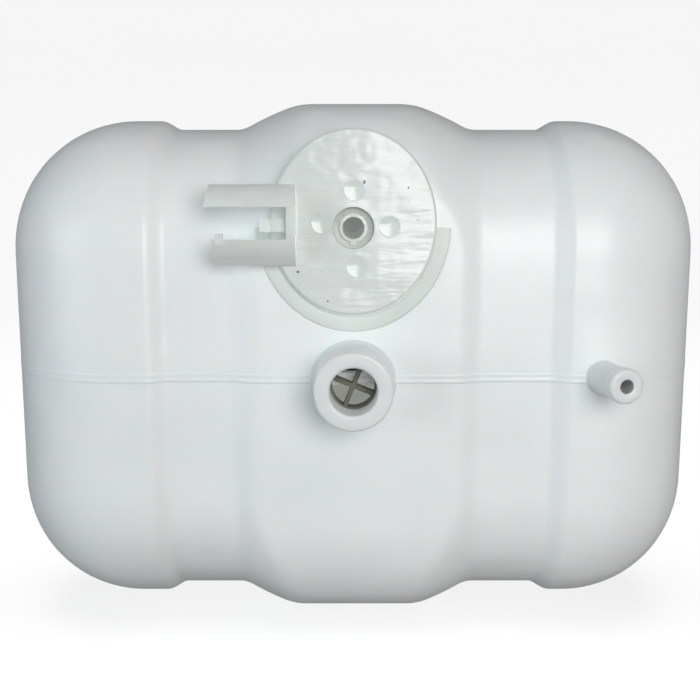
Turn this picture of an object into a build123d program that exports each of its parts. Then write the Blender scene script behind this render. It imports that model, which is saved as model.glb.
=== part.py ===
from build123d import *
import math
import os

# Coolant expansion tank: a blow-moulded tank for two straps, with a level sensor carrier on its port face.
# X runs along the tank, the port face looks towards -Y, Z is up. Z = 0 is the belly that the tank stands on.
# All sizes are in millimetres. Positions are taken from the tank's middle until the last step lifts them.

# Tank body
tank_length = 400.0
wall = 4.0
section_radius = 72.0
section_half_flat = 0.5
groove_half_height = 138.5
end_flat = 4.0
left_groove_inner = 64.5
right_groove_inner = 68.0
left_lobe_length = 99.0
right_lobe_length = 92.5
lobe_rise = 5.0
lobe_ramp = 12.0
barrel_depth_rise = 5.0
barrel_height_rise = 12.3
barrel_lift = 1.7
barrel_radius = 66.0
barrel_ramp = 26.0
barrel_ramp_angle = 30.0
seam_z = 2.0
seam_width = 5.0
seam_rise = 1.2
core_overlap = 2.0

# Outlet stub on the seam
stub_radius = 21.0
stub_bore = 12.5
stub_length = 28.0
stub_edge = 2.0
stub_root = 5.0

# Vent nipple on the seam
nipple_from_end = 63.6
nipple_z = 2.5
nipple_angle = 12.0
nipple_radius = 8.6
nipple_bore = 3.8
nipple_length = 26.0
nipple_edge = 1.2
nipple_root = 3.0

# Level sensor carrier and its boss
carrier_z = 86.3
carrier_half_width = 43.8
carrier_half_height = 48.8
carrier_thickness = 4.0
carrier_edge = 1.2
boss_height = 2.0
boss_wall = 4.0
collar_margin = 8.0
collar_drop = 1.5
collar_thickness = 1.4
spigot_wall = 2.5
spigot_depth = 6.0
spigot_gap = 0.3
pocket_z = 83.5
pocket_bore = 5.8
pocket_wall = 2.6
pocket_length = 92.0
pocket_end = 3.0
hub_recess_radius = 11.0
hub_recess_depth = 3.0
hub_rim_radius = 7.4
hub_rim_height = 1.4
hub_back_wall = 3.0
hub_back_depth = 6.0
hub_key_width = 3.2
hub_key_height = 1.6

# Connector holder on the carrier
holder_z = 85.1
holder_root_x = 30.0
holder_root_thickness = 4.5
holder_length = 47.0
holder_radius = 24.0
holder_wall = 2.6
holder_rise = 14.5
holder_half_height = 21.0
upper_rail_edge = 9.5
lower_rail_edge = 7.0
rail_end_slant = 2.0
lower_rail_cut = 4.0
hook_length = 4.0
hook_height = 3.0
latch_length = 14.0
latch_half_height = 3.3
latch_thickness = 2.4
latch_drop = 5.0
latch_ramp = 5.0
latch_ramp_rise = 2.0

# Float on the sensor pocket
float_radius = 19.0
float_length = 26.0
float_gap = 0.5
float_start = 9.5
float_travel = 42.0
float_end_gap = 0.3
magnet_radius = 14.0
magnet_length = 6.0
magnet_gap = 0.1
retainer_radius = 14.0
retainer_thickness = 2.5
retainer_gap = 0.05
retainer_slots = 6
retainer_slot_width = 1.6
retainer_slot_depth = 2.2

# Cross in the outlet
cross_depth = 17.0
cross_length = 8.0
cross_web = 2.0
cross_sleeve_wall = 1.0
cross_gap = 0.05
cross_turn = 24.0

# Filler neck on the hidden side
neck_height = 28.0
neck_thread_top = 23.0
neck_thread_radius = 29.0
neck_top_radius = 26.5
neck_bore = 23.0

# Cap cover
cap_radius = 38.0
cap_foot = 6.0
cap_roof = 3.4
cap_thread_gap = 0.4
cap_ledge_radius = 27.2
cap_ledge_height = 2.8
cap_edge = 3.0
grip_count = 10
grip_radius = 5.0
grip_depth = 1.6

# Valve insert in the cap
insert_gap = 0.4
insert_wall = 3.5
insert_foot = 6.0
insert_floor = 3.0
seat_radius = 9.0
flange_thickness = 3.0
flange_radius = 28.8
seat_gap = 0.3
seal_thickness = 2.0
seal_gap = 0.3
spring_seat_thickness = 2.4
spring_seat_gap = 0.1
vent_radius = 7.0

# Pressure valve, its spring and the vacuum valve
plate_radius = 13.0
plate_thickness = 2.2
plate_seal_thickness = 1.5
umbrella_radius = 6.0
umbrella_crown = 1.4
stem_radius = 2.4
stem_gap = 0.05
bulb_radius = 3.3
bulb_length = 3.0
spring_radius = 10.6
spring_wire = 2.0
spring_turns = 2.5
spring_end_gap = 0.1

# Derived places
groove_half_depth = section_radius + section_half_flat
left_groove_outer = tank_length / 2 - left_lobe_length
right_groove_outer = tank_length / 2 - right_lobe_length
nipple_x = tank_length / 2 - nipple_from_end
barrel_half_depth = groove_half_depth + barrel_depth_rise
barrel_half_height = groove_half_height + barrel_height_rise
carrier_back_y = -(barrel_half_depth + boss_height)
carrier_face_y = carrier_back_y - carrier_thickness
pocket_radius = pocket_bore + pocket_wall
end_radius = section_radius + lobe_rise - end_flat
core_radius = end_flat / 2
spout_sink = 2 * wall
bore_sink = 4 * wall
reach = tank_length + stub_length + neck_height
upright = Pos(0, 0, barrel_half_height - barrel_lift)


def two_sided(half_profile, inset, left_x, right_x):
    """Profile of the whole tank from a half profile, drawn for the left groove and for the right one."""
    left = make_face(Curve() + half_profile(inset, left_x))
    right = make_face(Curve() + half_profile(inset, right_x))
    return right + mirror(left, Plane.YZ)


def ring_path(half_y, half_z, radius):
    """Closed rounded rectangle across X, starting at the middle of its top."""
    top = half_z + radius
    side = half_y + radius
    stretches = (
        ((0, side, half_z), (0, side, -half_z)),
        ((0, half_y, -top), (0, -half_y, -top)),
        ((0, -side, -half_z), (0, -side, half_z)),
        ((0, -half_y, top), (0, 0, top)),
    )
    edges = [Line((0, 0, top), (0, half_y, top))]
    for turn_end, run_end in stretches:
        edges.append(TangentArc(edges[-1] @ 1, turn_end, tangent=edges[-1] % 1))
        edges.append(Line(turn_end, run_end))
    return Wire(edges)


def swept_round(profile, half_y, half_z):
    """Solid swept round a rounded rectangle. The profile's heights are measured from the corner centres."""
    ring = sweep(Pos(0, 0, half_z) * profile, ring_path(half_y, half_z, core_radius))
    filled = core_radius + core_overlap
    section = RectangleRounded(2 * (half_y + filled), 2 * (half_z + filled), filled)
    span = profile.bounding_box()
    return ring + extrude(Plane.YZ.offset(span.min.X) * section, span.size.X)


def lobed_half(inset, groove_x):
    """Half tank outline over a groove and an end lobe, with a plain ramp inside the wall."""
    end_x = tank_length / 2 - inset
    low = section_radius - inset
    high = low + lobe_rise
    rounding = end_radius - inset
    foot = (groove_x, 0, low)
    crest = (groove_x + lobe_ramp, 0, high)
    base = Polyline(
        (end_x, 0, high - rounding), (end_x, 0, core_radius), (0, 0, core_radius), (0, 0, low), foot
    )
    ramp = Line(foot, crest)
    if inset <= 0:
        level = (1, 0, 0)
        ramp = Spline(foot, crest, tangents=(level, level))
    turn_start = (end_x - rounding, 0, high)
    turn = TangentArc(turn_start, (end_x, 0, high - rounding), tangent=(1, 0, 0))
    return [base, ramp, Line(crest, turn_start), turn]


def barrel_half(inset, groove_x):
    """Half outline of the flank that rises from a groove to the middle barrel, plain inside the wall."""
    low = section_radius - inset
    shoulder_x = groove_x - barrel_ramp
    high = low + barrel_height_rise
    lean = math.radians(barrel_ramp_angle)
    chord = math.atan2(barrel_height_rise, barrel_ramp)
    ridge = high + shoulder_x * math.tan(2 * chord - lean)
    foot = (groove_x, 0, low)
    shoulder = (shoulder_x, 0, high)
    flank = TangentArc(foot, shoulder, tangent=(-math.cos(lean), 0, math.sin(lean)))
    if inset > 0:
        flank = Line(foot, shoulder)
    base = Polyline(shoulder, (0, 0, ridge), (0, 0, core_radius), (groove_x, 0, core_radius), foot)
    return [flank, base]


def tank_form(inset):
    """Whole tank as a solid, drawn in by the inset on every side."""
    half_z = groove_half_height - section_radius
    lobed = two_sided(lobed_half, inset, left_groove_outer, right_groove_outer)
    raised = two_sided(barrel_half, inset, left_groove_inner, right_groove_inner)
    lobes = swept_round(lobed, section_half_flat, half_z)
    flanks = swept_round(raised, section_half_flat, half_z)
    section = RectangleRounded(
        2 * (barrel_half_depth - inset), 2 * (barrel_half_height - inset), barrel_radius - inset
    )
    prism = Pos(0, 0, barrel_lift) * extrude(Plane.YZ * section, tank_length / 2, both=True)
    return lobes + (flanks & prism)


def oval(half_width, half_height, z, y_from, y_to):
    """Oval block along Y."""
    plane = Plane((0, y_from, z), x_dir=(1, 0, 0), z_dir=(0, 1, 0))
    return extrude(plane * Ellipse(half_width, half_height), y_to - y_from)


def rod(radius, x, z, y_from, y_to):
    """Round block along Y."""
    plane = Plane((x, y_from, z), x_dir=(1, 0, 0), z_dir=(0, 1, 0))
    return extrude(plane * Circle(radius), y_to - y_from)


def turned(outline):
    """Solid turned about +Y from (radius, distance along Y) points."""
    points = [(radius, along, 0) for radius, along in outline]
    return revolve(make_face(Polyline(*points, close=True)), Axis.Y)


def spout(radius, length, root, edge):
    """Hose spout along +Y from its foot, flared at the foot and eased at the tip."""
    steps = [math.radians(angle) for angle in (0, 45, 90)]
    tip = [(radius - edge * (1 - math.cos(a)), length - edge * (1 - math.sin(a))) for a in steps]
    return turned([
        (0, -spout_sink), (radius + root + spout_sink, -spout_sink), (radius, root), *tip, (0, length)
    ])


def tank_body():
    """Blow-moulded tank with its spouts, the carrier's boss and the filler neck, in one piece."""
    cavity = tank_form(wall)
    body = tank_form(0)
    body += tank_form(-seam_rise) & Pos(0, 0, seam_z) * Box(reach, reach, seam_width)
    boss_foot = -(barrel_half_depth - barrel_radius)
    body += oval(carrier_half_width, carrier_half_height, carrier_z, carrier_back_y, boss_foot)
    collar = oval(
        carrier_half_width + collar_margin, carrier_half_height + collar_margin, carrier_z - collar_drop,
        -(barrel_half_depth + collar_thickness), boss_foot,
    )
    body += split(collar, Plane.XY.offset(pocket_z), keep=Keep.BOTTOM)
    body += outlet_place() * spout(stub_radius, stub_length, stub_root, stub_edge)
    body += nipple_place() * spout(nipple_radius, nipple_length, nipple_root, nipple_edge)
    body += filler_place() * turned([
        (0, -spout_sink), (neck_thread_radius, -spout_sink), (neck_thread_radius, neck_thread_top),
        (neck_top_radius, neck_thread_top), (neck_top_radius, neck_height), (0, neck_height),
    ])
    body -= cavity
    hole_half_width = carrier_half_width - boss_wall
    hole_half_height = carrier_half_height - boss_wall
    body -= oval(hole_half_width, hole_half_height, carrier_z, carrier_back_y, boss_foot)
    body -= outlet_place() * rod(stub_bore, 0, 0, -bore_sink, stub_length)
    body -= nipple_place() * rod(nipple_bore, 0, 0, -bore_sink, nipple_length)
    body -= filler_place() * rod(neck_bore, 0, 0, -bore_sink, neck_height)
    return body


def outlet_place():
    """Foot of the outlet stub, with +Y pointing out of the tank."""
    return Pos(0, -barrel_half_depth, 0) * Rot(0, 0, 180)


def nipple_place():
    """Foot of the vent nipple, leaning towards the near end."""
    return Pos(nipple_x, -(groove_half_depth + lobe_rise), nipple_z) * Rot(0, 0, 180 + nipple_angle)


def filler_place():
    """Foot of the filler neck on the hidden side."""
    return Pos(0, barrel_half_depth, 0)


def holder():
    """Open tubular clip for the sensor's plug: two curved rails, a sprung latch and their root."""
    axis_y = carrier_face_y - holder_rise + holder_radius
    tip_x = -(holder_root_x + holder_length)
    plane = Plane((-holder_root_x, axis_y, holder_z), x_dir=(0, 1, 0), z_dir=(-1, 0, 0))
    tube = extrude(plane * (Circle(holder_radius) - Circle(holder_radius - holder_wall)), holder_length)
    root_face = plane * Circle(holder_radius)
    root = extrude(root_face, holder_root_thickness)
    front = Box(reach, reach, 2 * holder_half_height, align=(Align.CENTER, Align.MAX, Align.CENTER))
    front = Pos(0, carrier_face_y, holder_z) * front
    slot_height = upper_rail_edge + lower_rail_edge
    slot = Pos(tip_x, axis_y, holder_z + (upper_rail_edge - lower_rail_edge) / 2) * Box(
        2 * (holder_length - holder_root_thickness), reach, slot_height
    )
    rails = (tube & front) - slot
    slant = Plane((tip_x, axis_y, holder_z + holder_half_height), x_dir=(1, 0, 0), z_dir=(0, -1, 0))
    corner = Polyline((0, 0), (rail_end_slant, 0), (0, -(holder_half_height - upper_rail_edge)), close=True)
    rails -= extrude(slant * make_face(corner), reach, both=True)
    rails -= Pos(tip_x, axis_y, holder_z) * Box(
        2 * lower_rail_cut, reach, reach, align=(Align.CENTER, Align.CENTER, Align.MAX)
    )
    hook_depth = holder_radius - math.sqrt(holder_radius ** 2 - lower_rail_edge ** 2)
    hook_y = carrier_face_y - holder_rise + hook_depth
    hook_x = tip_x + lower_rail_cut + hook_length
    hook = Pos(hook_x, hook_y, holder_z - lower_rail_edge) * Box(
        hook_length, holder_wall, 2 * hook_height, align=(Align.CENTER, Align.MIN, Align.CENTER)
    )
    return rails + hook + (root & front) + latch()


def latch():
    """Sprung tongue between the rails, with a ramp that catches the plug."""
    root_x = -(holder_root_x + holder_root_thickness)
    top_y = carrier_face_y - holder_rise + latch_drop
    tip_x = root_x - latch_length
    outline = Polyline(
        (root_x, top_y), (tip_x + latch_ramp, top_y), (tip_x + latch_ramp, top_y - latch_ramp_rise),
        (tip_x, top_y), (tip_x, top_y + latch_thickness), (root_x, top_y + latch_thickness), close=True,
    )
    return extrude(Plane.XY.offset(holder_z) * make_face(outline), latch_half_height, both=True)


def sensor_carrier():
    """Moulded carrier: oval lid, spigot, blind sensor pocket and connector holder."""
    lid = oval(carrier_half_width, carrier_half_height, carrier_z, carrier_face_y, carrier_back_y)
    lid = chamfer(lid.edges().sort_by(Axis.Y)[:1], carrier_edge)
    spigot_width = carrier_half_width - boss_wall - spigot_gap
    spigot_height = carrier_half_height - boss_wall - spigot_gap
    spigot_end = carrier_back_y + spigot_depth
    lid += oval(spigot_width, spigot_height, carrier_z, carrier_back_y, spigot_end)
    spigot_width -= spigot_wall
    spigot_height -= spigot_wall
    lid -= oval(spigot_width, spigot_height, carrier_z, carrier_back_y, spigot_end)
    hub_radius = hub_recess_radius + hub_back_wall
    lid += rod(hub_radius, 0, pocket_z, carrier_back_y, carrier_back_y + hub_back_depth)
    lid += rod(pocket_radius, 0, pocket_z, carrier_back_y, carrier_back_y + pocket_length)
    recess_floor = carrier_face_y + hub_recess_depth
    lid -= rod(hub_recess_radius, 0, pocket_z, carrier_face_y, recess_floor)
    lid += rod(hub_rim_radius, 0, pocket_z, recess_floor - hub_rim_height, recess_floor)
    key_height = hub_rim_radius + hub_key_height
    lid += Pos(0, recess_floor, pocket_z) * Box(
        hub_key_width, hub_rim_height, key_height, align=(Align.CENTER, Align.MAX, Align.MAX)
    )
    lid -= rod(pocket_bore, 0, pocket_z, carrier_face_y, carrier_back_y + pocket_length - pocket_end)
    return lid + holder()


def float_place():
    """Float axis, with its own Y = 0 at the float's end next to the carrier."""
    return Pos(0, carrier_back_y + float_start, pocket_z)


def level_float():
    """Ring float round the sensor pocket, with a seat for its magnet in the end away from the carrier."""
    inner = pocket_radius + float_gap
    ring = rod(float_radius, 0, 0, 0, float_length) - rod(inner, 0, 0, 0, float_length)
    magnet_seat = rod(magnet_radius + magnet_gap, 0, 0, float_length - magnet_length, float_length)
    return float_place() * (ring - magnet_seat)


def float_magnet():
    """Ring magnet that works the reed switch in the pocket."""
    inner = pocket_radius + float_gap
    ring = rod(magnet_radius, 0, 0, float_length - magnet_length, float_length)
    return float_place() * (ring - rod(inner, 0, 0, float_length - magnet_length, float_length))


def float_retainer():
    """Push-on washer that keeps the float on the pocket."""
    start = float_length + float_travel + float_end_gap
    end = start + retainer_thickness
    bore = pocket_radius + retainer_gap
    ring = rod(retainer_radius, 0, 0, start, end) - rod(bore, 0, 0, start, end)
    notch_sizes = (retainer_slot_width, retainer_thickness, retainer_slot_depth)
    notch = Box(*notch_sizes, align=(Align.CENTER, Align.MIN, Align.MIN))
    for index in range(retainer_slots):
        ring -= Rot(0, index * 360 / retainer_slots, 0) * Pos(0, start, bore - retainer_gap) * notch
    return float_place() * ring


def outlet_cross():
    """Four-armed web in a thin sleeve that steadies the flow through the outlet."""
    start = stub_length - cross_depth - cross_length
    end = start + cross_length
    sleeve_radius = stub_bore - cross_gap
    inside = sleeve_radius - cross_sleeve_wall
    sleeve = rod(sleeve_radius, 0, 0, start, end) - rod(inside, 0, 0, start, end)
    arm = Pos(0, start, 0) * Box(
        2 * inside + cross_sleeve_wall, cross_length, cross_web, align=(Align.CENTER, Align.MIN, Align.CENTER)
    )
    for turn in (0, 90):
        sleeve += Rot(0, cross_turn + turn, 0) * arm
    return outlet_place() * sleeve


def flange_foot():
    """Height of the insert's flange over the neck's foot."""
    return neck_height + seal_thickness + 2 * seal_gap


def roof_inside():
    """Height of the cap's inner roof over the neck's foot."""
    return flange_foot() + flange_thickness + seat_gap


def cap_cover():
    """Screw cap with a scalloped grip and a ledge that carries the valve insert."""
    top = roof_inside() + cap_roof
    thread = neck_thread_radius + cap_thread_gap
    pocket = flange_radius + seat_gap
    ledge_top = flange_foot() - seat_gap
    ledge_foot = ledge_top - cap_ledge_height
    shell = turned([
        (0, top), (cap_radius - cap_edge, top), (cap_radius, top - cap_edge), (cap_radius, cap_foot),
        (thread, cap_foot), (thread, ledge_foot), (cap_ledge_radius, ledge_foot),
        (cap_ledge_radius, ledge_top), (pocket, ledge_top), (pocket, roof_inside()), (0, roof_inside()),
    ])
    scallop_circle = cap_radius + grip_radius - grip_depth
    scallop = rod(grip_radius, scallop_circle, 0, cap_foot, top)
    for index in range(grip_count):
        shell -= Rot(0, index * 360 / grip_count, 0) * scallop
    return filler_place() * shell


def valve_insert():
    """Plug in the neck that carries the valve seat and the spring."""
    outer = neck_bore - insert_gap
    inner = outer - insert_wall
    floor_top = insert_foot + insert_floor
    flange_top = flange_foot() + flange_thickness
    return filler_place() * turned([
        (seat_radius, insert_foot), (outer, insert_foot), (outer, flange_foot()),
        (flange_radius, flange_foot()), (flange_radius, flange_top), (inner, flange_top),
        (inner, floor_top), (seat_radius, floor_top),
    ])


def neck_seal():
    """Flat seal between the insert's flange and the neck's rim."""
    low = neck_height + seal_gap
    high = low + seal_thickness
    return filler_place() * (rod(neck_top_radius, 0, 0, low, high) - rod(neck_bore, 0, 0, low, high))


def spring_seat():
    """Vented disc over the pressure spring, snapped into the insert."""
    radius = neck_bore - insert_gap - insert_wall - spring_seat_gap
    end = flange_foot() + flange_thickness
    start = end - spring_seat_thickness
    return filler_place() * (rod(radius, 0, 0, start, end) - rod(vent_radius, 0, 0, start, end))


def plate_foot():
    """Height of the pressure plate's underside over the neck's foot."""
    return insert_foot + insert_floor + seat_gap + plate_seal_thickness


def pressure_plate():
    """Plate that lifts off its seat when the tank's pressure beats the spring."""
    hole = stem_radius + stem_gap
    plate = rod(plate_radius, 0, 0, plate_foot(), plate_foot() + plate_thickness)
    return filler_place() * (plate - rod(hole, 0, 0, plate_foot(), plate_foot() + plate_thickness))


def pressure_seal():
    """Rubber ring on the plate's underside."""
    low = plate_foot() - plate_seal_thickness
    ring = rod(plate_radius, 0, 0, low, plate_foot())
    return filler_place() * (ring - rod(umbrella_radius + seat_gap, 0, 0, low, plate_foot()))


def pressure_spring():
    """Square wire spring that holds the pressure plate on its seat."""
    margin = spring_wire / 2 + spring_end_gap
    low = plate_foot() + plate_thickness + margin
    height = flange_foot() + flange_thickness - spring_seat_thickness - margin - low
    path = Helix(height / spring_turns, height, spring_radius, center=(0, low, 0), direction=(0, 1, 0))
    section = Plane(path @ 0, z_dir=path % 0) * Rectangle(spring_wire, spring_wire)
    return filler_place() * sweep(section, path, is_frenet=True)


def vacuum_valve():
    """Rubber umbrella that lets air in when the tank cools, held by its bulb above the plate."""
    under = plate_foot() - stem_gap
    over = plate_foot() + plate_thickness + stem_gap
    return filler_place() * turned([
        (0, under - umbrella_crown), (umbrella_radius, under), (stem_radius, under), (stem_radius, over),
        (bulb_radius, over), (0, over + bulb_length),
    ])


makers = (
    tank_body, sensor_carrier, level_float, float_magnet, float_retainer, outlet_cross, cap_cover,
    valve_insert, neck_seal, spring_seat, pressure_plate, pressure_seal, pressure_spring, vacuum_valve,
)
os.makedirs("parts", exist_ok=True)
for maker in makers:
    export_step(upright * maker(), f"parts/{maker.__name__}.step")
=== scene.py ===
import math

import bmesh
import bpy
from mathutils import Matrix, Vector


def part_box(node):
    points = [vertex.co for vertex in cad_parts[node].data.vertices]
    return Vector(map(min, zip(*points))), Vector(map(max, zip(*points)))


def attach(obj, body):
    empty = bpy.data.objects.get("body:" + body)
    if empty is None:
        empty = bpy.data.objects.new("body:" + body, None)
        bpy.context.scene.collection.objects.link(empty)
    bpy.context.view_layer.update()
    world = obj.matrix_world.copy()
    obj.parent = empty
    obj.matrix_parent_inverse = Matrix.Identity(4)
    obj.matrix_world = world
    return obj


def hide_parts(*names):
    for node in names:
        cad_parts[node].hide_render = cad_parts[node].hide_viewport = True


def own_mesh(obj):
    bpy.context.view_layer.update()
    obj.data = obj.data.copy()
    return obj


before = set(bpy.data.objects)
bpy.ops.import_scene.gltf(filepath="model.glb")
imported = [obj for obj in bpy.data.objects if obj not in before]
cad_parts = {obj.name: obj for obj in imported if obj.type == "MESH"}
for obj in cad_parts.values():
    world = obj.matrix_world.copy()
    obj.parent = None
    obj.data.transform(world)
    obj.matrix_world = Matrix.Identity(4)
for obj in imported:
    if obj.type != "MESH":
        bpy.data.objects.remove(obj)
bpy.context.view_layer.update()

# Looks of the expansion tank. Sizes are in millimetres and become metres in the meshes.

MM = 0.001

# Tank form, measured from the tank's middle. The grooves are (left, right).
MIDDLE_Z = 149.1
HALF_LENGTH = 200.0
HALF_Y = 0.5
HALF_Z = 66.5
GROOVE_RADIUS = 72.0
LOBE_RADIUS = 77.0
LOBE_RAMP = 12.0
GROOVE_INNER = (64.5, 68.0)
GROOVE_OUTER = (101.0, 107.5)
END_RADIUS = 73.0
BARREL_Y = 77.5
BARREL_HALF_Y = 11.5
BARREL_HALF_Z = 84.8
BARREL_LIFT = 1.7
BARREL_RADIUS = 66.0
FLANK_RUN = 26.0
FLANK_RISE = 12.3
FLANK_LEAN = math.radians(30.0)
EDGE_SOFT = 2.5
WALL = 4.0
SEAM_Z = 2.0

# Radii of the openings in the skin, which the ports cover
NECK_HOLE = 26.0
OUTLET_HOLE = 16.0
NIPPLE_HOLE = 5.5

# Ports and carrier
NIPPLE_FOOT = (136.4, -77.5, 2.5)
NIPPLE_ANGLE = 12.0
CARRIER_Z = 86.3
CARRIER_HALF = (43.8, 48.8)
CARRIER_FACE_Y = -83.5
HUB_Z = 83.5
COLLAR_MARGIN = 8.0
COLLAR_Z = 84.8
EJECTOR_MARKS = {"top": (0.5, 103.2), "right": (19.0, 84.5), "low": (1.8, 63.3), "left": (-16.5, 86.0)}

# Cross in the outlet
SLEEVE_RADII = (12.4, 11.4)
SLEEVE_LENGTH = 8.0
CROSS_TURN = -22.0
ARM_HALF = 1.1
ARM_REACH = 11.8
ARM_DEPTHS = (0.6, 7.4)


def add_mesh(name, vertices, faces):
    """Smooth mesh object from points in millimetres, measured from the tank's middle."""
    mesh = bpy.data.meshes.new(name)
    mesh.from_pydata([Vector((x, y, z + MIDDLE_Z)) * MM for x, y, z in vertices], [], faces)
    mesh.validate()
    work = bmesh.new()
    work.from_mesh(mesh)
    bmesh.ops.remove_doubles(work, verts=work.verts, dist=1e-6)
    bmesh.ops.recalc_face_normals(work, faces=work.faces)
    work.to_mesh(mesh)
    work.free()
    mesh.shade_smooth()
    mesh.set_sharp_from_angle(angle=math.radians(40))
    piece = bpy.data.objects.new(name, mesh)
    bpy.context.scene.collection.objects.link(piece)
    return piece


def grid_faces(rows, columns, closed_rows=False, closed_columns=False):
    """Quads of a grid of points stored row by row."""
    faces = []
    for row in range(rows if closed_rows else rows - 1):
        for column in range(columns if closed_columns else columns - 1):
            after = (column + 1) % columns
            below = (row + 1) % rows
            top = row * columns
            bottom = below * columns
            faces.append((top + column, top + after, bottom + after, bottom + column))
    return faces


def lathe(name, outline, place, steps=96):
    """Turned piece about its own +Y from (radius, distance) points, put in place by a function."""
    vertices = []
    for radius, along in outline:
        for step in range(steps):
            turn = 2 * math.pi * step / steps
            vertices.append(place(radius * math.cos(turn), along, radius * math.sin(turn)))
    return add_mesh(name, vertices, grid_faces(len(outline), steps, closed_columns=True))


def rounded(outline, ease, steps=6):
    """Outline with its inner corners eased by arcs of about the given size."""
    points = [outline[0]]
    for before, corner, after in zip(outline, outline[1:], outline[2:]):
        corner = Vector(corner)
        inward = Vector(before) - corner
        outward = Vector(after) - corner
        reach = min(ease, inward.length / 2.2, outward.length / 2.2)
        start = corner + inward.normalized() * reach
        end = corner + outward.normalized() * reach
        for step in range(steps + 1):
            t = step / steps
            points.append(tuple(start * (1 - t) ** 2 + corner * 2 * t * (1 - t) + end * t ** 2))
    points.append(outline[-1])
    return points


def outline_reach(dy, dz, half_y, half_z, radius):
    """Distance from the tank's axis to a rounded rectangle along a unit direction."""
    dy, dz = abs(dy), abs(dz)
    side = half_y + radius
    top = half_z + radius
    if dy > 1e-9 and side / dy * dz <= half_z:
        return side / dy
    if dz > 1e-9 and top / dz * dy <= half_y:
        return top / dz
    along = dy * half_y + dz * half_z
    return along + math.sqrt(max(along ** 2 - half_y ** 2 - half_z ** 2 + radius ** 2, 0))


def soft_max(a, b, soft):
    """Larger of two lengths, with a fillet where they meet."""
    blend = max(soft - abs(a - b), 0) / soft
    return max(a, b) + blend ** 2 * soft / 4


def soft_min(a, b, soft):
    """Smaller of two lengths, with a rounded edge where they meet."""
    blend = max(soft - abs(a - b), 0) / soft
    return min(a, b) - blend ** 2 * soft / 4


def side_of(x, pair):
    """The left or the right value of a pair, for a place along the tank."""
    return pair[0] if x < 0 else pair[1]


def lobe_radius(x):
    """Radius of the grooves and end lobes at a place along the tank."""
    beyond = abs(x) - (HALF_LENGTH - END_RADIUS)
    if beyond > 0:
        return LOBE_RADIUS - END_RADIUS + math.sqrt(max(END_RADIUS ** 2 - beyond ** 2, 0))
    t = min(max((abs(x) - side_of(x, GROOVE_OUTER)) / LOBE_RAMP, 0), 1)
    return GROOVE_RADIUS + (LOBE_RADIUS - GROOVE_RADIUS) * t * t * (3 - 2 * t)


def flank_radius(x):
    """Radius of the flanks, which rise from the grooves in an arc and then run straight on."""
    chord = math.atan2(FLANK_RISE, FLANK_RUN)
    radius = math.hypot(FLANK_RISE, FLANK_RUN) / (2 * math.sin(FLANK_LEAN - chord))
    foot = side_of(x, GROOVE_INNER)
    shoulder = foot - FLANK_RUN
    along = max(abs(x), shoulder) - foot + radius * math.sin(FLANK_LEAN)
    arc = GROOVE_RADIUS - radius * math.cos(FLANK_LEAN) + math.sqrt(max(radius ** 2 - along ** 2, 0))
    return arc + math.tan(2 * chord - FLANK_LEAN) * max(shoulder - abs(x), 0)


def tank_reach(x, dy, dz):
    """Distance from the tank's axis to its skin along a unit direction."""
    lobes = outline_reach(dy, dz, HALF_Y, HALF_Z, lobe_radius(x))
    if abs(x) > side_of(x, GROOVE_INNER) + 6:
        return lobes
    flank = outline_reach(dy, dz, HALF_Y, HALF_Z, flank_radius(x))
    lift = math.copysign(BARREL_LIFT, dz)
    barrel = outline_reach(dy, dz, BARREL_HALF_Y, BARREL_HALF_Z + lift, BARREL_RADIUS)
    return soft_max(lobes, soft_min(flank, barrel, EDGE_SOFT), EDGE_SOFT)


def spread(start, end, steps):
    """Evenly spaced numbers with both ends."""
    return [start + (end - start) * step / steps for step in range(steps + 1)]


def section_directions():
    """Unit directions round the tank's section, one for each line of the skin."""
    quarter = [(HALF_Y + GROOVE_RADIUS, z) for z in spread(0, HALF_Z, 16)]
    for turn in spread(0, math.pi / 2, 22)[1:]:
        y = HALF_Y + GROOVE_RADIUS * math.cos(turn)
        quarter.append((y, HALF_Z + GROOVE_RADIUS * math.sin(turn)))
    quarter += [(y, HALF_Z + GROOVE_RADIUS) for y in spread(HALF_Y, 0, 3)[1:]]
    half = quarter + [(-y, z) for y, z in reversed(quarter[:-1])]
    ring = half + [(y, -z) for y, z in reversed(half[1:-1])]
    return [Vector(point).normalized() for point in ring]


def section_places(side):
    """Places of the skin's rows, from the tank's middle to its left (0) or right (1) end."""
    inner = GROOVE_INNER[side]
    outer = GROOVE_OUTER[side]
    turn_x = HALF_LENGTH - END_RADIUS
    places = spread(0, inner - 34, 8) + spread(inner - 32, inner + 6, 26)
    places += spread(inner + 10, outer - 2, 5) + spread(outer, outer + LOBE_RAMP, 14)
    places += spread(outer + LOBE_RAMP, turn_x, 3)[1:]
    return places + [turn_x + END_RADIUS * math.sin(turn) for turn in spread(0, math.pi / 2, 32)[1:]]


def in_port(x, y, z):
    """True where the skin is open under a port or the carrier."""
    if y > 0:
        return math.hypot(x, z) < NECK_HOLE
    oval = math.hypot(x / (CARRIER_HALF[0] - 2), (z - CARRIER_Z) / (CARRIER_HALF[1] - 2))
    nipple = math.hypot(x - NIPPLE_FOOT[0], z - NIPPLE_FOOT[2])
    return math.hypot(x, z) < OUTLET_HOLE or nipple < NIPPLE_HOLE or oval < 0.95


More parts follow.
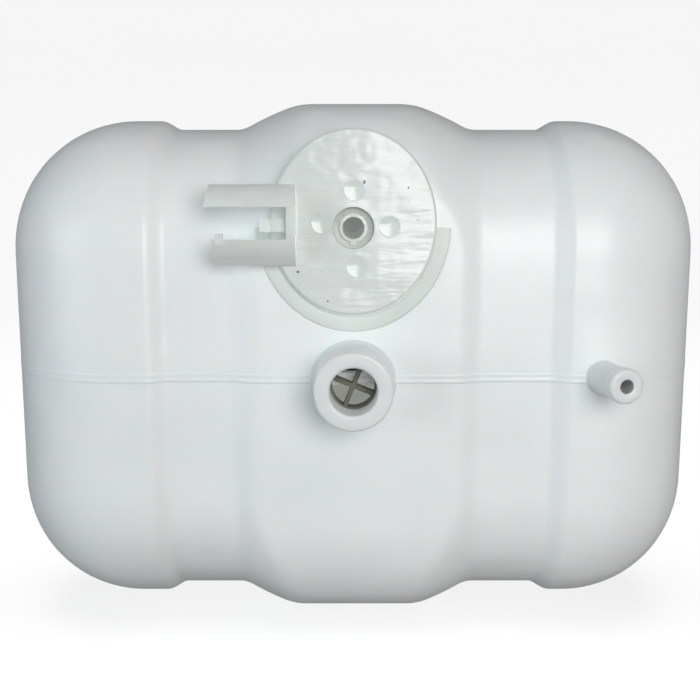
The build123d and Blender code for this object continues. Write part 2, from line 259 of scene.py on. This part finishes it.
def tank_skin(name, inset):
    """Outside of the blow-moulded wall, or its inside at an inset, open under the ports."""
    directions = section_directions()
    places = [-x for x in reversed(section_places(0)[1:])] + section_places(1)
    vertices = []
    for x in places:
        for direction in directions:
            reach = max(tank_reach(x, direction.x, direction.y) - inset, 0)
            vertices.append((x * (1 - inset / HALF_LENGTH), direction.x * reach, direction.y * reach))
    faces = []
    for face in grid_faces(len(places), len(directions), closed_columns=True):
        middle = sum((Vector(vertices[index]) for index in face), Vector()) / 4
        if not in_port(*middle):
            faces.append(face)
    last = (len(places) - 1) * len(directions)
    faces.append(tuple(range(len(directions))))
    faces.append(tuple(range(last, last + len(directions))))
    return add_mesh(name, vertices, faces)


def seam_bead():
    """Pinched mould seam right round the tank near mid-height, with a fine double ridge."""
    turn_x = HALF_LENGTH - END_RADIUS
    flat = HALF_Y + LOBE_RADIUS - END_RADIUS
    path = []
    for way in (1, -1):
        for x in spread(-turn_x, turn_x, 150):
            path.append((way * x, -way * tank_reach(way * x, 1, 0), 0, -way))
        for turn in spread(0, math.pi, 48)[1:-1]:
            along = way * math.sin(turn)
            out = -way * math.cos(turn)
            y = END_RADIUS * out + math.copysign(flat, out)
            path.append((way * turn_x + END_RADIUS * along, y, along, out))
    half = [(-3.4, -0.4), (-2.7, 0.2), (-2.1, 0.55), (-1.4, 0.65), (-0.6, 0.4)]
    profile = half + [(-z, rise) for z, rise in reversed(half)]
    vertices = []
    for x, y, along, out in path:
        flash = 1 + 0.22 * math.sin(0.31 * x) * math.sin(0.83 * x + y) + 0.12 * math.sin(1.9 * x)
        flash *= 1 - 0.75 * min(max((abs(x) - 120) / 40, 0), 1)
        for z, rise in profile:
            vertices.append((x + along * rise * flash, y + out * rise * flash, z + SEAM_Z))
    return add_mesh("seam_bead", vertices, grid_faces(len(path), len(profile), closed_rows=True))


def facing(x, y, z, way):
    """Function that puts a turned piece at a point, with its own +Y along +Y (1) or -Y (-1)."""
    def place(across, along, up):
        return (x + way * across, y + way * along, z + up)
    return place


def nipple_place(across, along, up):
    """Point of the vent nipple, whose own +Y leaves the tank at a lean."""
    turn = math.radians(180 + NIPPLE_ANGLE)
    x = across * math.cos(turn) - along * math.sin(turn)
    y = across * math.sin(turn) + along * math.cos(turn)
    return (NIPPLE_FOOT[0] + x, NIPPLE_FOOT[1] + y, NIPPLE_FOOT[2] + up)


def tank_ports():
    """Outlet stub, vent nipple and filler neck."""
    stub = [(25.5, -1.6), (22.4, 0.8), (21.1, 4.6), (21.0, 9), (21.0, 28), (12.5, 28), (12.5, -5)]
    nipple = [(10.4, -2.5), (8.9, 0.8), (8.6, 4), (8.6, 18), (9.5, 20.2), (9.5, 26), (4.4, 26)]
    mouth = [(3.9, 25.8), (3.8, 25.4), (3.8, 24.6)]
    neck = [(29, -4), (29, 23), (26.5, 23), (26.5, 28), (23, 28), (23, -5)]
    return [
        lathe("outlet_stub", rounded(stub, 2.0), facing(0, -BARREL_Y, 0, -1)),
        lathe("vent_nipple", rounded(nipple, 2.2) + mouth, nipple_place, 64),
        lathe("filler_neck", rounded(neck, 0.6, 3), facing(0, BARREL_Y, 0, 1)),
    ]


def nipple_bore():
    """Bore of the vent nipple, coloured grey as painted shade for the little light it gets."""
    return lathe("nipple_bore", [(3.8, 24.7), (3.8, 16), (3.7, 4), (3.7, -9)], nipple_place, 64)


def carrier_boss():
    """Raised oval boss under the carrier."""
    profile = rounded([(0.0, -50.0), (0.0, -79.5), (-4.0, -79.5), (-4.0, -60.0)], 0.6, 3)
    vertices = []
    for margin, y in profile:
        for turn in spread(0, 2 * math.pi, 144)[:-1]:
            x = (CARRIER_HALF[0] + margin) * math.cos(turn)
            vertices.append((x, y, CARRIER_Z + (CARRIER_HALF[1] + margin) * math.sin(turn)))
    return add_mesh("carrier_boss", vertices, grid_faces(len(profile), 144, closed_columns=True))


def carrier_collar():
    """Half-ring lip round the lower half of the carrier."""
    top = -BARREL_Y - 1.4
    corners = [(-COLLAR_MARGIN, -BARREL_Y), (-COLLAR_MARGIN, top), (0, top), (0.6, -BARREL_Y + 6)]
    profile = rounded(corners, 1.2, 5)
    turns = spread(math.pi + 0.023, 2 * math.pi - 0.023, 96)
    vertices = []
    for turn in turns:
        for offset, y in profile:
            x = (CARRIER_HALF[0] + COLLAR_MARGIN + offset) * math.cos(turn)
            z = COLLAR_Z + (CARRIER_HALF[1] + COLLAR_MARGIN + offset) * math.sin(turn)
            vertices.append((x, y, z))
    faces = grid_faces(len(turns), len(profile))
    faces.append(tuple(range(len(profile))))
    faces.append(tuple(range(len(vertices) - len(profile), len(vertices))))
    return add_mesh("carrier_collar", vertices, faces)


def ejector_marks():
    """Four round ejector marks on the carrier's face."""
    outline = [(0.1, 0.1), (4.9, 0.1), (5.2, 0.24), (5.6, 0.24), (5.9, -0.05)]
    marks = []
    for name, (x, z) in EJECTOR_MARKS.items():
        marks.append(lathe("ejector_mark_" + name, outline, facing(x, CARRIER_FACE_Y, z, -1), 48))
    return marks


def outlet_cross():
    """Sleeve with a four-armed cross deep in the outlet, turned as in the photograph."""
    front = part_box("outlet_cross")[0].y / MM
    turns = spread(0, 2 * math.pi, 72)[:-1]
    vertices = []
    outside, inside = SLEEVE_RADII
    for radius, along in [(outside, 0), (outside, SLEEVE_LENGTH), (inside, SLEEVE_LENGTH), (inside, 0)]:
        for turn in turns:
            vertices.append((radius * math.cos(turn), front + along, radius * math.sin(turn)))
    faces = grid_faces(4, len(turns), closed_rows=True, closed_columns=True)
    first = len(vertices)
    for along in ARM_DEPTHS:
        for turn in spread(math.radians(CROSS_TURN), math.radians(CROSS_TURN + 270), 3):
            for reach, half in ((ARM_HALF, -ARM_HALF), (ARM_REACH, -ARM_HALF), (ARM_REACH, ARM_HALF)):
                x = reach * math.cos(turn) - half * math.sin(turn)
                vertices.append((x, front + along, reach * math.sin(turn) + half * math.cos(turn)))
    for corner in range(12):
        after = (corner + 1) % 12
        faces.append((first + corner, first + after, first + 12 + after, first + 12 + corner))
    for base in (first, first + 12):
        faces.append((base, base + 3, base + 6, base + 9))
        for arm in (0, 3, 6, 9):
            faces.append((base + arm, base + arm + 1, base + arm + 2, base + (arm + 3) % 12))
    return add_mesh("cross", vertices, faces)


def hub_web():
    """Thin floor of the hub's recess, coloured darker grey-green as painted shade for the dim inside of the
    tank.
    """
    outline = [(7.3, 0.02), (7.6, 0.1), (10.6, 0.1), (10.9, 0.3), (11.0, 0.6)]
    return lathe("hub_web", outline, facing(0, CARRIER_FACE_Y + 3.0, HUB_Z, -1), 72)


def pocket_lining():
    """Wall and end of the sensor pocket, coloured darker as painted shade, with a painted glow."""
    outline = [(5.77, 0), (5.77, 45), (5.77, 90.5), (0.1, 90.5)]
    return lathe("pocket_lining", outline, facing(0, CARRIER_FACE_Y + 2.0, HUB_Z, 1), 64)


def valve_spring():
    """Round-wire spring of the pressure valve."""
    low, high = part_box("pressure_spring")
    coil = 10.6
    wire = 0.95
    turns = 2.5
    steps = 180
    start = low.y / MM + wire
    rise = high.y / MM - wire - start
    vertices = []
    for step in range(steps + 1):
        turn = turns * 2 * math.pi * step / steps
        for side in spread(0, 2 * math.pi, 12)[:-1]:
            radius = coil + wire * math.cos(side)
            y = start + rise * step / steps + wire * math.sin(side)
            vertices.append((radius * math.cos(turn), y, radius * math.sin(turn)))
    faces = grid_faces(steps + 1, 12, closed_columns=True)
    faces.append(tuple(range(12)))
    faces.append(tuple(range(len(vertices) - 12, len(vertices))))
    return add_mesh("valve_spring", vertices, faces)


class Shader:
    """Principled material with helpers for its texture nodes, in the part's own coordinates."""

    def __init__(self, name, roughness, **sockets):
        self.material = bpy.data.materials.new(name)
        self.material.use_nodes = True
        self.nodes = self.material.node_tree.nodes
        self.links = self.material.node_tree.links
        self.surface = self.nodes["Principled BSDF"]
        self.surface.inputs["Roughness"].default_value = roughness
        for socket, value in sockets.items():
            self.surface.inputs[socket.replace("_", " ")].default_value = value
        self.place = self.nodes.new("ShaderNodeTexCoord").outputs["Object"]

    def stretched(self, scale):
        """Coordinates with their own scale along each axis."""
        node = self.nodes.new("ShaderNodeMapping")
        node.inputs["Scale"].default_value = scale
        self.links.new(self.place, node.inputs["Vector"])
        return node.outputs["Vector"]

    def noise(self, scale, detail=3.0, vector=None):
        """Soft noise from 0 to 1."""
        node = self.nodes.new("ShaderNodeTexNoise")
        node.inputs["Scale"].default_value = scale
        node.inputs["Detail"].default_value = detail
        self.links.new(vector or self.place, node.inputs["Vector"])
        return node.outputs["Fac"]

    def ramp(self, value, stops):
        """Colours along a value."""
        node = self.nodes.new("ShaderNodeValToRGB")
        elements = node.color_ramp.elements
        for _ in stops[2:]:
            elements.new(0.5)
        for element, (position, colour) in zip(elements, stops):
            element.position = position
            element.color = (*colour, 1)
        self.links.new(value, node.inputs["Fac"])
        return node.outputs["Color"]

    def span(self, value, low, high):
        """A value from 0 to 1 mapped to another range."""
        node = self.nodes.new("ShaderNodeMapRange")
        node.inputs["To Min"].default_value = low
        node.inputs["To Max"].default_value = high
        self.links.new(value, node.inputs["Value"])
        return node.outputs["Result"]

    def mix(self, factor, under, over):
        """One colour laid over another where the factor is high."""
        node = self.nodes.new("ShaderNodeMix")
        node.data_type = "RGBA"
        self.links.new(factor, node.inputs[0])
        self.links.new(under, node.inputs[6])
        self.links.new(over, node.inputs[7])
        return node.outputs[2]

    def bump(self, height, distance, strength=1.0, under=None):
        """Surface relief from a height, on top of an earlier relief."""
        node = self.nodes.new("ShaderNodeBump")
        node.inputs["Distance"].default_value = distance
        node.inputs["Strength"].default_value = strength
        self.links.new(height, node.inputs["Height"])
        if under:
            self.links.new(under, node.inputs["Normal"])
        return node.outputs["Normal"]

    def finish(self, **sockets):
        """Joins outputs to the surface's sockets and gives the material."""
        for socket, output in sockets.items():
            self.links.new(output, self.surface.inputs[socket.replace("_", " ")])
        return self.material


def tank_plastic(name, low, high, glow):
    """Milky blow-moulded polyethylene: faint clouding, orange peel, a slow waviness and a painted glow."""
    # Emission gives a painted glow, in place of light that comes through the milky wall.
    shader = Shader(
        name, 0.35, Subsurface_Weight=0.2, Subsurface_Scale=0.012, IOR=1.5,
        Emission_Color=(0.92, 0.96, 0.95, 1), Emission_Strength=glow,
    )
    colour = shader.ramp(shader.noise(11, 2), [(0.3, low), (0.7, high)])
    gloss = shader.span(shader.noise(60, 4), 0.24, 0.42)
    wave = shader.bump(shader.noise(26, 1), 0.0014)
    peel = shader.bump(shader.noise(420, 2), 0.00006, under=wave)
    return shader.finish(Base_Color=colour, Roughness=gloss, Normal=peel)


def carrier_plastic():
    """Glossier moulded plastic with a greenish cast, flow lines, a few dark specks and a painted glow."""
    # Emission gives a painted glow, in place of light that comes through the plastic.
    shader = Shader(
        "carrier_plastic", 0.2, Subsurface_Weight=0.2, Subsurface_Scale=0.008, IOR=1.5, Coat_Weight=0.2,
        Emission_Color=(0.90, 0.96, 0.93, 1), Emission_Strength=0.06,
    )
    clouds = shader.noise(30, 2)
    milky = shader.ramp(clouds, [(0.3, (0.73, 0.775, 0.755)), (0.7, (0.81, 0.84, 0.825))])
    specks = shader.ramp(shader.noise(260, 1), [(0.785, (0, 0, 0)), (0.80, (1, 1, 1))])
    dirt = shader.ramp(clouds, [(0.0, (0.05, 0.06, 0.05)), (1.0, (0.08, 0.08, 0.07))])
    flow = shader.noise(1, 2, shader.stretched((42, 42, 230)))
    gloss = shader.span(flow, 0.05, 0.24)
    relief = shader.bump(flow, 0.0004, under=shader.bump(shader.noise(48, 2), 0.0009))
    return shader.finish(Base_Color=shader.mix(specks, milky, dirt), Roughness=gloss, Normal=relief)


def plain_plastic(name, low, high, roughness, grain):
    """Moulded plastic or foam with a fine grain."""
    shader = Shader(name, roughness)
    colour = shader.ramp(shader.noise(90, 3), [(0.3, low), (0.7, high)])
    gloss = shader.span(shader.noise(300, 3), roughness - 0.08, roughness + 0.08)
    relief = shader.bump(shader.noise(grain, 3), 0.0001)
    return shader.finish(Base_Color=colour, Roughness=gloss, Normal=relief)


def plain_metal(name, low, high, roughness, scale):
    """Metal with fine drawn or pressed marks."""
    shader = Shader(name, roughness, Metallic=1.0)
    marks = shader.noise(1, 4, shader.stretched(scale))
    colour = shader.ramp(marks, [(0.3, low), (0.7, high)])
    gloss = shader.span(marks, roughness - 0.1, roughness + 0.1)
    return shader.finish(Base_Color=colour, Roughness=gloss, Normal=shader.bump(marks, 0.00003))


def stage():
    """Pale round floor that turns up into a wall on every side. It lends the tank no light."""
    flat, bend, height = 1.6, 0.6, 2.6
    outline = [(0.0, 0.0), (0.6, 0.0), (flat, 0.0)]
    for turn in spread(0, math.pi / 2, 12)[1:]:
        outline.append((flat + bend * math.sin(turn), bend * (1 - math.cos(turn))))
    outline.append((flat + bend, height))
    vertices = []
    for radius, z in outline:
        for turn in spread(0, 2 * math.pi, 96)[:-1]:
            vertices.append((radius * math.cos(turn), radius * math.sin(turn), z))
    mesh = bpy.data.meshes.new("floor")
    mesh.from_pydata(vertices, [], grid_faces(len(outline), 96, closed_columns=True))
    mesh.shade_smooth()
    floor = bpy.data.objects.new("floor", mesh)
    bpy.context.scene.collection.objects.link(floor)
    shader = Shader("floor", 0.7, Emission_Color=(1, 1, 1, 1), Emission_Strength=0.78)
    colour = shader.ramp(shader.noise(3), [(0.3, (0.48, 0.48, 0.48)), (0.7, (0.5, 0.5, 0.5))])
    mesh.materials.append(shader.finish(Base_Color=colour))
    floor.visible_diffuse = False
    floor.visible_glossy = False
    return floor


def area_light(name, place, target, size, power, colour):
    """Soft square light that looks at a point."""
    data = bpy.data.lights.new(name, "AREA")
    data.size = size
    data.energy = power
    data.color = colour
    light = bpy.data.objects.new(name, data)
    light.location = place
    light.rotation_euler = (Vector(target) - Vector(place)).to_track_quat("-Z", "Y").to_euler()
    light.visible_camera = False
    bpy.context.scene.collection.objects.link(light)
    return light


def link_floor(light, floor, state):
    """Lets a light reach the floor alone (INCLUDE), or everything but the floor (EXCLUDE)."""
    group = bpy.data.collections.new(light.name + "_floor")
    group.objects.link(floor)
    light.light_linking.receiver_collection = group
    group.collection_objects[0].light_linking.link_state = state


def studio(floor):
    """Soft lights from the front, the left and behind for the tank, and one from above for the floor."""
    world = bpy.data.worlds.new("surround")
    bpy.context.scene.world = world
    world.use_nodes = True
    surround = world.node_tree.nodes["Background"]
    surround.inputs["Color"].default_value = (0.97, 0.985, 1.0, 1)
    surround.inputs["Strength"].default_value = 0.1
    middle = (0, 0, 0.16)
    key = area_light("key", (0.4, -1.3, 0.48), middle, 0.8, 11.7, (1, 0.99, 0.97))
    fill = area_light("fill", (-1.3, -0.9, 0.35), middle, 0.9, 6.4, (0.82, 0.93, 1.0))
    back = area_light("back", (-0.3, 1.2, 0.25), middle, 0.8, 10.0, (1, 0.99, 0.98))
    back.visible_glossy = False
    overhead = area_light("overhead", (0, 0, 2.4), (0, 0, 0), 2.0, 27.0, (1, 1, 1))
    for light in (key, fill, back):
        link_floor(light, floor, "EXCLUDE")
    link_floor(overhead, floor, "INCLUDE")
    bpy.context.scene.view_settings.view_transform = "Standard"


def camera():
    """Camera at the photograph's place: just above the tank and looking slightly down."""
    data = bpy.data.cameras.new("camera")
    data.sensor_width = 36
    data.lens = 51.5
    eye = bpy.data.objects.new("camera", data)
    eye.location = (-0.0018, -0.6115, 0.2524)
    eye.rotation_euler = (math.radians(80.91), 0, 0)
    bpy.context.scene.collection.objects.link(eye)
    bpy.context.scene.camera = eye


def paint(nodes, material):
    """Gives CAD nodes a material."""
    for node in nodes:
        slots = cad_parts[node].data.materials
        slots.clear()
        slots.append(material)


skin = tank_skin("tank_skin", 0.0)
# The last number of each tank_plastic sets its painted glow.
white = tank_plastic("tank_plastic", (0.80, 0.835, 0.845), (0.86, 0.88, 0.885), 0.11)
# The inside wall is dimmer olive grey as painted shade, with a stronger painted glow, so the bores show a
# lit-through grey.
inside_painted_shade_and_glow = tank_plastic("tank_inside", (0.52, 0.52, 0.475), (0.58, 0.58, 0.53), 0.135)
greenish = tank_plastic("tank_lip", (0.66, 0.715, 0.68), (0.74, 0.78, 0.75), 0.08)
# The grey of the nipple's bore is painted shade.
bore_painted_shade = plain_plastic("nipple_bore", (0.60, 0.61, 0.61), (0.68, 0.69, 0.69), 0.4, 300)
# The ports take a greyer copy of the tank's plastic: painted shade, with the painted glow.
ports_painted_shade = tank_plastic("tank_ports", (0.70, 0.735, 0.745), (0.77, 0.795, 0.80), 0.09)
looks = [(piece, white) for piece in (skin, seam_bead(), carrier_boss())]
looks += [(piece, ports_painted_shade) for piece in tank_ports()]
looks += [(tank_skin("tank_inside", WALL), inside_painted_shade_and_glow), (carrier_collar(), greenish), (nipple_bore(), bore_painted_shade)]
for piece, material in looks:
    piece.data.materials.append(material)
    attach(piece, "tank")
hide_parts("tank_body")

glossy = carrier_plastic()
# The hub web's darker grey-green is painted shade.
hub_painted_shade = plain_plastic("hub_web", (0.52, 0.55, 0.51), (0.62, 0.65, 0.61), 0.3, 200)
# The pocket lining's darker grey is painted shade, and its emission a painted glow.
shaded = tank_plastic("pocket_lining", (0.40, 0.42, 0.38), (0.50, 0.52, 0.48), 0.115)
paint(["sensor_carrier"], glossy)
details = [(mark, glossy) for mark in ejector_marks()] + [(hub_web(), hub_painted_shade), (pocket_lining(), shaded)]
for piece, material in details:
    piece.data.materials.append(material)
    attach(piece, "tank")

# The cross and its sleeve are dark olive as painted shade deep in the bore.
cross_painted_shade = plain_plastic("cross_plastic", (0.11, 0.104, 0.075), (0.17, 0.16, 0.12), 0.45, 500)
foam = plain_plastic("float_foam", (0.015, 0.015, 0.017), (0.03, 0.03, 0.032), 0.7, 900)
ferrite = plain_plastic("magnet_ferrite", (0.03, 0.03, 0.032), (0.06, 0.06, 0.063), 0.6, 800)
grained = plain_plastic("cap_plastic", (0.018, 0.018, 0.02), (0.034, 0.034, 0.037), 0.38, 700)
satin = plain_plastic("insert_plastic", (0.03, 0.03, 0.033), (0.05, 0.05, 0.053), 0.45, 600)
rubber = plain_plastic("seal_rubber", (0.01, 0.01, 0.01), (0.02, 0.02, 0.02), 0.65, 400)
sheet = plain_metal("retainer_steel", (0.5, 0.51, 0.53), (0.66, 0.67, 0.69), 0.35, (60, 600, 60))
brass = plain_metal("plate_brass", (0.60, 0.45, 0.20), (0.76, 0.60, 0.32), 0.35, (500, 60, 60))
wire = plain_metal("spring_steel", (0.42, 0.43, 0.45), (0.6, 0.61, 0.63), 0.3, (300, 60, 300))
paint(["level_float"], foam)
paint(["float_magnet"], ferrite)
paint(["cap_cover"], grained)
paint(["valve_insert", "spring_seat"], satin)
paint(["neck_seal", "pressure_seal", "vacuum_valve"], rubber)
paint(["float_retainer"], sheet)
paint(["pressure_plate"], brass)

cross = outlet_cross()
cross.data.materials.append(cross_painted_shade)
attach(cross, "tank")
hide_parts("outlet_cross")

spring = valve_spring()
spring.data.materials.append(wire)
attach(spring, "cap_insert")
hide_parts("pressure_spring")
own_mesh(spring)

studio(stage())
camera()
